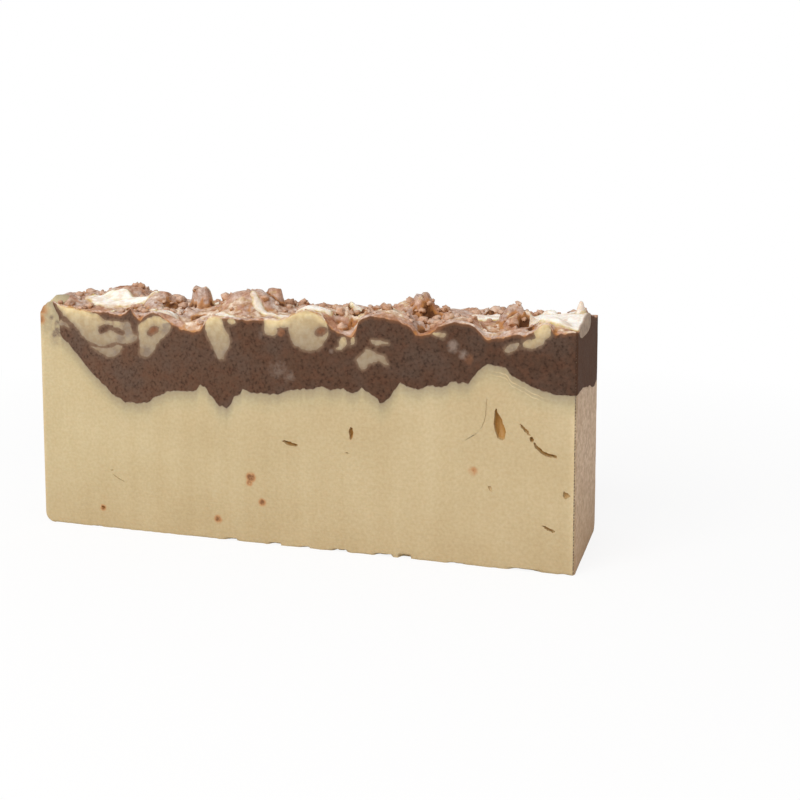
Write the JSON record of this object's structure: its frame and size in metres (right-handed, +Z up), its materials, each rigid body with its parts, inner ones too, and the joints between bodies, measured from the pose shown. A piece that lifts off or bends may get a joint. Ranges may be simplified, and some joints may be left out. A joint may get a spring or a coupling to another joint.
{
  "type": "bar of soap",
  "caption": "Long sawn loaf of hand-made soap: cream base, brown top pour with cream swirls, broken crumbly top. Stands on its flat foot.",
  "frame": {"origin": "centre of the loaf's footprint, on the face it stands on", "axes": "+X along the loaf from its moulded end to its sawn end, +Y across it from the sawn front to the moulded back, +Z up"},
  "size_m": [0.225, 0.058, 0.1004],
  "materials": {
    "cream_soap": "hard cold-process soap, sawn: waxy and nearly matt",
    "brown_soap": "speckled brown soap, sawn in front and broken on top: nearly matt",
    "swirl_soap": "cream soap marbled into the brown: waxy and nearly matt"
  },
  "bodies": {
    "root": {"cream_base": "cream_soap", "brown_top": "brown_soap", "cream_swirls": "swirl_soap"}
  },
  "joints": []
}
